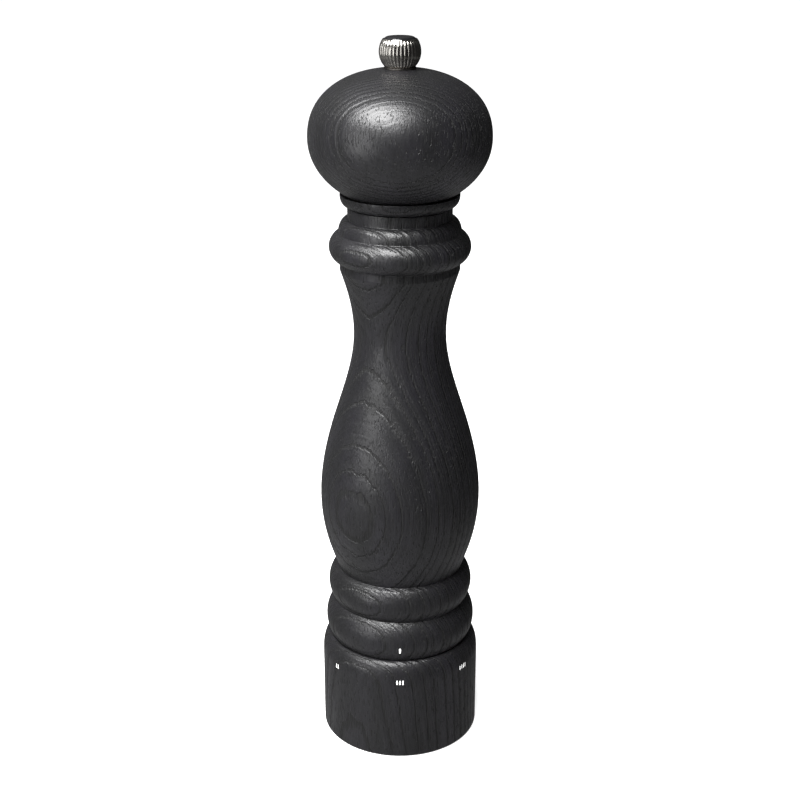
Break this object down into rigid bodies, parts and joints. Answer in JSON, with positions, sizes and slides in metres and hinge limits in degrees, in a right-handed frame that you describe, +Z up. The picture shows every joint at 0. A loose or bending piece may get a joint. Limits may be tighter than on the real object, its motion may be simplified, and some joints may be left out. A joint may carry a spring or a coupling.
{
  "type": "pepper mill",
  "caption": "Tall turned wooden pepper mill with a ball head, a fluted metal knob on top and a grind setting ring at its base.",
  "frame": {"origin": "centre of the resting face, on the mill's axis", "axes": "+Z up along the mill's axis; -Y is the front, where the index mark stands"},
  "size_m": [0.0724, 0.0724, 0.3],
  "materials": {
    "ebonised_wood": "satin black stain and lacquer over open-grained ring-porous hardwood",
    "black_plastic": "moulded",
    "black_gloss_plastic": "smooth moulded",
    "zinc_steel": "bright zinc",
    "spring_steel": "drawn",
    "burr_steel": "case-hardened",
    "nickel_plate": "polished",
    "brass": "turned",
    "bronze": "sintered"
  },
  "bodies": {
    "body": {"body_shell": "ebonised_wood", "neck_bush": "black_plastic", "burr_housing": "black_plastic", "housing_screws": "zinc_steel", "shaft_guide": "black_plastic", "outer_burr": "burr_steel", "burr_retainer": "spring_steel", "ring_retainer": "spring_steel", "click_spring": "spring_steel"},
    "setting_ring": {"base_ring": "ebonised_wood", "ring_insert": "black_plastic"},
    "bridge": {"bridge": "black_plastic", "bearing_bush": "bronze", "thrust_washer": "zinc_steel"},
    "shaft": {"drive_shaft": "zinc_steel", "shaft_clip": "spring_steel"},
    "inner_burr": {"inner_burr": "burr_steel", "spring_washer": "zinc_steel", "burr_spring": "spring_steel"},
    "head": {"head_shell": "ebonised_wood", "head_bush": "black_plastic", "drive_plate": "zinc_steel", "drive_plate_screws": "zinc_steel"},
    "knob_washer": {"knob_washer": "zinc_steel"},
    "knob": {"knob": "nickel_plate", "knob_insert": "brass", "knob_cap": "black_gloss_plastic"}
  },
  "joints": [
    {"name": "ring_turn", "type": "hinge", "parent": "body", "child": "setting_ring", "pos_m": [0, 0, 0.03], "axis": [0, 0, 1], "range_deg": [-159, 106], "deforming": ["click_spring"]},
    {"name": "bridge_lift", "type": "slide", "parent": "body", "child": "bridge", "axis": [0, 0, 1], "range_m": [-0.0009, 0.0006]},
    {"name": "shaft_turn", "type": "hinge", "parent": "body", "child": "shaft", "pos_m": [0, 0, 0.05], "axis": [0, 0, 1], "continuous": true},
    {"name": "burr_lift", "type": "slide", "parent": "shaft", "child": "inner_burr", "axis": [0, 0, 1], "range_m": [-0.0009, 0.0006], "deforming": ["burr_spring"]},
    {"name": "head_lift", "type": "slide", "parent": "shaft", "child": "head", "axis": [0, 0, 1], "range_m": [0, 0.09]},
    {"name": "knob_rise", "type": "slide", "parent": "head", "child": "knob_washer", "axis": [0, 0, 1], "range_m": [0, 0.0064]},
    {"name": "knob_turn", "type": "hinge", "parent": "knob_washer", "child": "knob", "pos_m": [0, 0, 0.2944], "axis": [0, 0, 1], "range_deg": [0, 2880]}
  ],
  "couplings": [
    {"joint": "bridge_lift", "follows": "ring_turn", "m_per_rad": 0.00032432},
    {"joint": "burr_lift", "follows": "ring_turn", "m_per_rad": 0.00032432},
    {"joint": "knob_rise", "follows": "knob_turn", "m_per_rad": 0.00012732}
  ]
}
